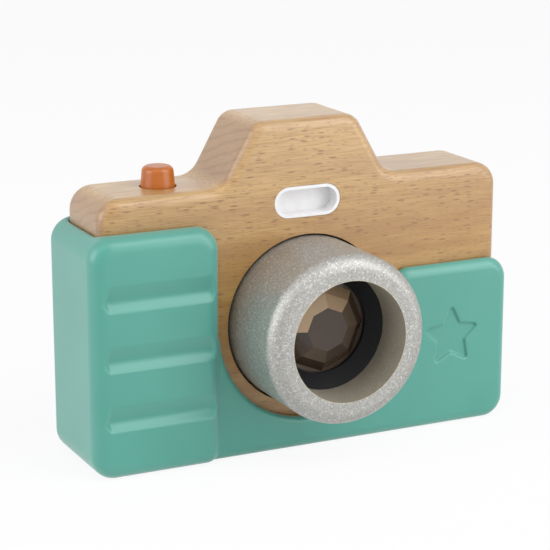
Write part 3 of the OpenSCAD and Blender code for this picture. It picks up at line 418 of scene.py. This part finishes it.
def smoothing():
    group = bpy.data.node_groups.new("smooth_by_angle", "GeometryNodeTree")
    for way in ("INPUT", "OUTPUT"):
        group.interface.new_socket("Geometry", in_out=way, socket_type="NodeSocketGeometry")
    source = add(group, "NodeGroupInput").outputs[0]
    bare = add(group, "GeometryNodeRemoveAttribute",
               {"Geometry": source, "Name": "custom_normal"}).outputs[0]
    merged = add(group, "GeometryNodeMergeByDistance", {"Geometry": bare, "Distance": WELD}).outputs[0]
    angle = add(group, "GeometryNodeInputMeshEdgeAngle").outputs["Unsigned Angle"]
    soft = add(group, "FunctionNodeCompare", {"A": angle, "B": SMOOTH_BELOW}, data_type="FLOAT",
               operation="LESS_THAN").outputs[0]
    faces = add(group, "GeometryNodeSetShadeSmooth", {"Geometry": merged}, domain="FACE").outputs[0]
    edges = add(group, "GeometryNodeSetShadeSmooth", {"Geometry": faces, "Shade Smooth": soft},
                domain="EDGE").outputs[0]
    add(group, "NodeGroupOutput", {0: edges})
    return group


def weigh_normals(piece, keep_sharp):
    piece.modifiers.new("weighted", "WEIGHTED_NORMAL").keep_sharp = keep_sharp


smooth_group = smoothing()
for part in frame["record"]["subparts"]:
    piece = nodes[part["node"]]
    dress(piece, part["material_slot"])
    if part["node"] not in FACETED:
        piece.modifiers.new("smooth", "NODES").node_group = smooth_group
        weigh_normals(piece, True)


def new_piece(name, points_mm, faces, body, slot):
    """A mesh in millimetres that rides on a body, smooth shaded."""
    mesh = bpy.data.meshes.new(name)
    mesh.from_pydata((np.asarray(points_mm) * MM).tolist(), [], faces)
    mesh.polygons.foreach_set("use_smooth", [True] * len(mesh.polygons))
    mesh.update()
    piece = bpy.data.objects.new(name, mesh)
    bpy.context.scene.collection.objects.link(piece)
    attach(piece, body)
    dress(piece, slot)
    return piece


# Solids as distance fields, in millimetres
GRID_MARGIN_STEPS = 3


def past_span(value, span, r):
    """How far a coordinate lies past a span that is shortened by r at both ends."""
    return np.abs(value - sum(span) / 2) - (span[1] - span[0]) / 2 + r


def rounded_edge(first, second, r):
    """Joins two distances, each grown by r, into one with an edge of radius r."""
    inside = np.minimum(np.maximum(first, second), 0)
    return inside + np.hypot(np.maximum(first, 0), np.maximum(second, 0)) - r


def rounded_box(u, v, u_span, v_span, r):
    """Distance to a flat rectangle with corners of radius r, which may vary over the plane."""
    return rounded_edge(past_span(u, u_span, r), past_span(v, v_span, r), r)


def rounded_slab(outline, y, y_span, r):
    """Distance to an outline drawn out along y, with edges of radius r at both ends."""
    return rounded_edge(outline + r, past_span(y, y_span, r), r)


def soft_max(first, second, blend):
    """The larger of two fields, blended where they are close to each other."""
    overlap = np.maximum(blend - np.abs(first - second), 0) / blend
    return np.maximum(first, second) + overlap * overlap * blend / 4


def polygon(u, v, corners):
    """Distance to a closed polygon in the plane."""
    nearest = np.full(u.shape, np.inf)
    inside = np.zeros(u.shape, bool)
    for (u0, v0), (u1, v1) in zip(corners, corners[1:] + corners[:1]):
        du, dv = u1 - u0, v1 - v0
        along = np.clip(((u - u0) * du + (v - v0) * dv) / (du * du + dv * dv), 0, 1)
        nearest = np.minimum(nearest, np.hypot(u - u0 - along * du, v - v0 - along * dv))
        crosses = (v0 <= v) != (v1 <= v)
        with np.errstate(divide="ignore", invalid="ignore"):
            inside ^= crosses & (u < u0 + (v - v0) * du / dv)
    return np.where(inside, -nearest, nearest)


def around(centre, reach, count, first_turn=0.0):
    """Points in the plane at even turns round a centre."""
    turns = [first_turn + 2 * math.pi * i / count for i in range(count)]
    return [(centre[0] + reach * math.cos(turn), centre[1] + reach * math.sin(turn)) for turn in turns]


def upright(outline):
    """A field over x and z, with an axis put in for y."""
    return outline[:, None, :]


def grid_axes(low, high, step):
    """Grid lines along each axis, to a few steps past the box."""
    margin = GRID_MARGIN_STEPS * step
    return [np.arange(low[i] - margin, high[i] + margin, step) for i in range(3)]


def skin(field, axes, step):
    """The zero surface of a field, as points in millimetres and quads that face outwards."""
    grid = openvdb.FloatGrid(step)
    grid.copyFromArray(np.ascontiguousarray(field, np.float32))
    points, quads = grid.convertToQuads(0.0)
    points = np.asarray(points, float) * step + np.array([axis[0] for axis in axes])
    quads = np.asarray(quads, int)
    a, b, c = (points[quads[:, i]] for i in range(3))
    if np.einsum("ij,ij->i", a, np.cross(b, c)).sum() < 0:
        quads = quads[:, ::-1]
    return points, quads.tolist()


# Silicone sleeve, in millimetres
SLEEVE_STEP = 0.4
EDGE_R = 3.0
CORNER_R = 6.5
FRONT_Y = -15.9
FOOT_SINK = 0.3
PANEL_CORNER_R = 5.0
PANEL_INNER_X = 26.5
PANEL_TOP_Z = 48.4
SLEEVE_FLOOR = 3.0
SLEEVE_FIT = 0.1
LIP_SOFT = 1.4
CUT_R = 28.0
CUT_SOFT = 1.6
GRIP_FOOT_R = 4.0
GRIP_EDGE_R = 4.5
GRIP_INNER_X = -28.5
GROOVE_Z = (16.2, 32.8, 49.4)
GROOVE_SPAN_X = (-63.0, -29.7)
GROOVE_DEEP = 1.9
GROOVE_ABOVE = 4.8
GROOVE_BELOW = 2.8
GROOVE_END = 2.0
GROOVE_SOFT = 0.3
GROOVE_CREST = 1.2
STAR_AT = (45.25, 26.5)
STAR_R = 8.0
STAR_INNER_SHARE = 0.5
STAR_POINTS = 5
STAR_DEEP = 0.8
STAR_ROUND = 0.6
STAR_SOFT = 0.5
WINDOW_X = (-56.8, -32.15)
WINDOW_Z = (14.8, 37.1)
WINDOW_R = 2.8
SOUND_AT = (-44.475, 46.72)
SOUND_RING = 4.5
SOUND_R = 1.4
SOUND_COUNT = 6
SOUND_SOFT = 0.5
FLAT_ANGLE = math.radians(0.1)


def jacket(x, z, y, low, high):
    """Column at the grip, low band and right-hand panel, as one slab with round edges."""
    foot = low[2] - FOOT_SINK
    panel_side = (PANEL_INNER_X, high[0])
    panel_r = np.where(x > sum(panel_side) / 2, CORNER_R, PANEL_CORNER_R)
    column = rounded_box(x, z, (low[0], GRIP_INNER_X), (foot, high[2]), CORNER_R)
    band = rounded_box(x, z, (low[0], high[0]), (foot, lens_z), CORNER_R)
    panel = rounded_box(x, z, panel_side, (foot, PANEL_TOP_Z), panel_r)
    outline = np.minimum(np.minimum(column, band), panel)
    return rounded_slab(upright(outline), y, (FRONT_Y, high[1]), EDGE_R)


def rise(share):
    """Grows from nothing to one, level at the start."""
    return (np.hypot(share, GROOVE_SOFT) - GROOVE_SOFT) / (math.hypot(1, GROOVE_SOFT) - GROOVE_SOFT)


def groove_depth(x, z):
    """Depth of the finger grooves, each with a long slope above and a short one below."""
    depth = np.zeros(x.shape)
    x0, x1 = GROOVE_SPAN_X
    end_share = np.maximum(np.maximum(x0 + GROOVE_END - x, x - x1 + GROOVE_END), 0) / GROOVE_END
    for valley in GROOVE_Z:
        side_share = np.where(z > valley, (z - valley) / GROOVE_ABOVE, (valley - z) / GROOVE_BELOW)
        depth = np.maximum(depth, GROOVE_DEEP * (1 - rise(end_share) - rise(side_share)))
    return depth


def ribbed_grip(x, z, y, low, high):
    side = (low[0], GRIP_INNER_X)
    inner_foot = (x > sum(side) / 2) & (z < high[2] / 2)
    corner_r = np.where(inner_foot, GRIP_FOOT_R, CORNER_R)
    outline = rounded_box(x, z, side, (low[2] - FOOT_SINK, high[2]), corner_r)
    grip = rounded_slab(upright(outline), y, (low[1], 0), GRIP_EDGE_R)
    steep = math.hypot(1, GROOVE_DEEP / GROOVE_BELOW)
    carved = upright(low[1] + groove_depth(x, z))
    return soft_max(grip, (carved - y) / steep, GROOVE_CREST)


def wood_room(x, y, z, floor_z):
    """Room for the wood, open at the top."""
    low, high = box_mm("wooden_body")
    x_span, y_span = ((low[i] - SLEEVE_FIT, high[i] + SLEEVE_FIT) for i in range(2))
    return np.maximum(rounded_box(x, y, x_span, y_span, EDGE_R), floor_z - z)


def star(x, z):
    tips = around(STAR_AT, STAR_R, STAR_POINTS, math.pi / 2)
    hollows = around(STAR_AT, STAR_R * STAR_INNER_SHARE, STAR_POINTS, math.pi / 2 + math.pi / STAR_POINTS)
    corners = [corner for pair in zip(tips, hollows) for corner in pair]
    return polygon(x, z, corners) - STAR_ROUND


def sleeve_field(axes, low, high):
    x, y, z = np.meshgrid(*axes, indexing="ij", sparse=True)
    flat_x, flat_z = np.meshgrid(axes[0], axes[2], indexing="ij")
    field = np.minimum(jacket(flat_x, flat_z, y, low, high), ribbed_grip(flat_x, flat_z, y, low, high))
    field = soft_max(field, -wood_room(x, y, z, low[2] + SLEEVE_FLOOR), LIP_SOFT)
    # Round cut for the barrel, front and back
    cut = np.hypot(flat_x, flat_z - lens_z) - CUT_R
    field = soft_max(field, -upright(cut), CUT_SOFT)
    # Star sunk in the front
    sunk = np.maximum(upright(star(flat_x, flat_z)), y - FRONT_Y - STAR_DEEP)
    field = soft_max(field, -sunk, STAR_SOFT)
    # Window and sound holes at the back
    window = rounded_box(flat_x, flat_z, WINDOW_X, WINDOW_Z, WINDOW_R)
    field = soft_max(field, -np.maximum(upright(window), -y), LIP_SOFT)
    for at_x, at_z in [SOUND_AT] + around(SOUND_AT, SOUND_RING, SOUND_COUNT):
        hole = np.hypot(flat_x - at_x, flat_z - at_z) - SOUND_R
        field = soft_max(field, -np.maximum(upright(hole), -y), SOUND_SOFT)
    return np.maximum(field, low[2] - z)


def join_flats(piece):
    """Makes single faces of the flat stretches."""
    flats = piece.modifiers.new("flats", "DECIMATE")
    flats.decimate_type = "DISSOLVE"
    flats.angle_limit = FLAT_ANGLE
    graph = bpy.context.evaluated_depsgraph_get()
    joined = bpy.data.meshes.new_from_object(piece.evaluated_get(graph))
    piece.modifiers.clear()
    piece.data = joined


def sleeve():
    low, high = box_mm("silicone_sleeve")
    axes = grid_axes(low, high, SLEEVE_STEP)
    points, quads = skin(sleeve_field(axes, low, high), axes, SLEEVE_STEP)
    piece = new_piece("sleeve_skin", np.clip(points, low, high), quads, "camera_body", "silicone")
    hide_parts("silicone_sleeve")
    join_flats(piece)
    weigh_normals(piece, False)


sleeve()


# Return spring
SPRING_MEAN_R = 3.2
SPRING_WIRE_R = 0.3
SPRING_TURNS = 5
SPRING_STEPS = 24
WIRE_SIDES = 10


def return_spring():
    low, high = box_mm("return_spring")
    centre = (low + high) / 2
    count = SPRING_TURNS * SPRING_STEPS + 1
    turns = np.linspace(0, 2 * math.pi * SPRING_TURNS, count)
    heights = np.linspace(low[2] + SPRING_WIRE_R, high[2] - SPRING_WIRE_R, count)
    ring = around((SPRING_MEAN_R, 0), SPRING_WIRE_R, WIRE_SIDES)
    points = []
    for turn, height in zip(turns, heights):
        for reach, lift in ring:
            across = (centre[0] + reach * math.cos(turn), centre[1] + reach * math.sin(turn))
            points.append((*across, height + lift))
    faces = []
    for first in range(0, (count - 1) * WIRE_SIDES, WIRE_SIDES):
        second = first + WIRE_SIDES
        for side in range(WIRE_SIDES):
            step = (side + 1) % WIRE_SIDES
            faces.append((first + side, second + side, second + step, first + step))
    faces.append(tuple(range(WIRE_SIDES)))
    faces.append(tuple(reversed(range((count - 1) * WIRE_SIDES, count * WIRE_SIDES))))
    piece = new_piece("spring_coil", points, faces, "camera_body", "screw_steel")
    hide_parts("return_spring")
    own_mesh(piece)


return_spring()


# Foam pad behind the board, round at its edges
PAD_STEP = 0.2
PAD_FILL = 0.7


def foam_pad():
    low, high = box_mm("board_pad")
    axes = grid_axes(low, high, PAD_STEP)
    x, y, z = np.meshgrid(*axes, indexing="ij", sparse=True)
    thick = high[1] - low[1]
    outline = rounded_box(x, z, (low[0], high[0]), (low[2], high[2]), thick)
    points, quads = skin(rounded_slab(outline, y, (low[1], high[1]), thick / 2 * PAD_FILL), axes, PAD_STEP)
    piece = new_piece("foam_pad", np.clip(points, low, high), quads, "camera_body", "foam")
    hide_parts("board_pad")


foam_pad()


# Floor and light, in metres and watts
FLOOR_SIDE = 6.0
FLOOR_SINK = 0.0002
FLOOR_GREY = (0.93, 0.93, 0.93, 1.0)
FLOOR_SEEN_SHARE = 0.9
LIGHT_TARGET = (0.0, 0.0, 0.045)
WORLD_STRENGTH = 0.42


def direct_share(tree):
    """One for rays from the camera, from a shiny surface or through a clear one, nothing for the rest."""
    path = add(tree, "ShaderNodeLightPath").outputs
    return maths(tree, "MAXIMUM", path["Is Camera Ray"],
                 maths(tree, "MAXIMUM", path["Is Glossy Ray"], path["Is Transmission Ray"]))


def floor():
    half = FLOOR_SIDE / 2
    corners = [(x * half, y * half, -FLOOR_SINK) for x, y in ((-1, -1), (1, -1), (1, 1), (-1, 1))]
    mesh = bpy.data.meshes.new("floor")
    mesh.from_pydata(corners, [], [(0, 1, 2, 3)])
    piece = bpy.data.objects.new("floor", mesh)
    bpy.context.scene.collection.objects.link(piece)
    new, tree, shader = material("floor_white", Base_Color=FLOOR_GREY, Roughness=0.9,
                                 Specular_IOR_Level=0.0)
    white = add(tree, "ShaderNodeEmission", {"Color": WHITE, "Strength": 1.0}).outputs[0]
    seen = maths(tree, "MULTIPLY", direct_share(tree), FLOOR_SEEN_SHARE)
    both = add(tree, "ShaderNodeMixShader", {0: seen, 1: shader.outputs[0], 2: white}).outputs[0]
    tree.links.new(both, tree.nodes["Material Output"].inputs["Surface"])
    mesh.materials.append(new)


floor()


def area_light(name, place, size, power):
    lamp = bpy.data.lights.new(name, "AREA")
    lamp.shape = "SQUARE"
    lamp.size = size
    lamp.energy = power
    holder = bpy.data.objects.new(name, lamp)
    holder.location = place
    holder.rotation_euler = (Vector(LIGHT_TARGET) - Vector(place)).to_track_quat("-Z", "Y").to_euler()
    holder.visible_camera = False
    bpy.context.scene.collection.objects.link(holder)


area_light("key", place=(0.58, -0.77, 1.0), size=0.9, power=7.0)
area_light("upper_left", place=(-0.6, -0.6, 1.25), size=1.2, power=4.0)
area_light("left", place=(-1.3, 0.0, 0.45), size=1.0, power=8.8)
area_light("fill", place=(0.36, -0.46, 0.14), size=0.4, power=1.25)


def world():
    """White where it is seen, weaker where it lights the scene."""
    scene_world = bpy.data.worlds.new("studio")
    bpy.context.scene.world = scene_world
    scene_world.use_nodes = True
    tree = scene_world.node_tree
    light = tree.nodes["Background"]
    light.inputs["Color"].default_value = WHITE
    light.inputs["Strength"].default_value = WORLD_STRENGTH
    seen = add(tree, "ShaderNodeBackground", {"Color": WHITE, "Strength": 1.0}).outputs[0]
    both = add(tree, "ShaderNodeMixShader",
               {0: direct_share(tree), 1: light.outputs[0], 2: seen}).outputs[0]
    tree.links.new(both, tree.nodes["World Output"].inputs["Surface"])


world()

# Camera, in metres, degrees and millimetres of lens
CAMERA_AT = (-0.2418, -0.4889, 0.1891)
CAMERA_TILT = 75.331
CAMERA_YAW = -25.942
CAMERA_LENS = 129.6
CAMERA_NEAR = 0.01

camera = bpy.data.objects.new("camera", bpy.data.cameras.new("camera"))
camera.data.lens = CAMERA_LENS
camera.data.clip_start = CAMERA_NEAR
camera.location = CAMERA_AT
camera.rotation_euler = (math.radians(CAMERA_TILT), 0.0, math.radians(CAMERA_YAW))
bpy.context.scene.collection.objects.link(camera)
bpy.context.scene.camera = camera
bpy.context.scene.view_settings.view_transform = "Standard"
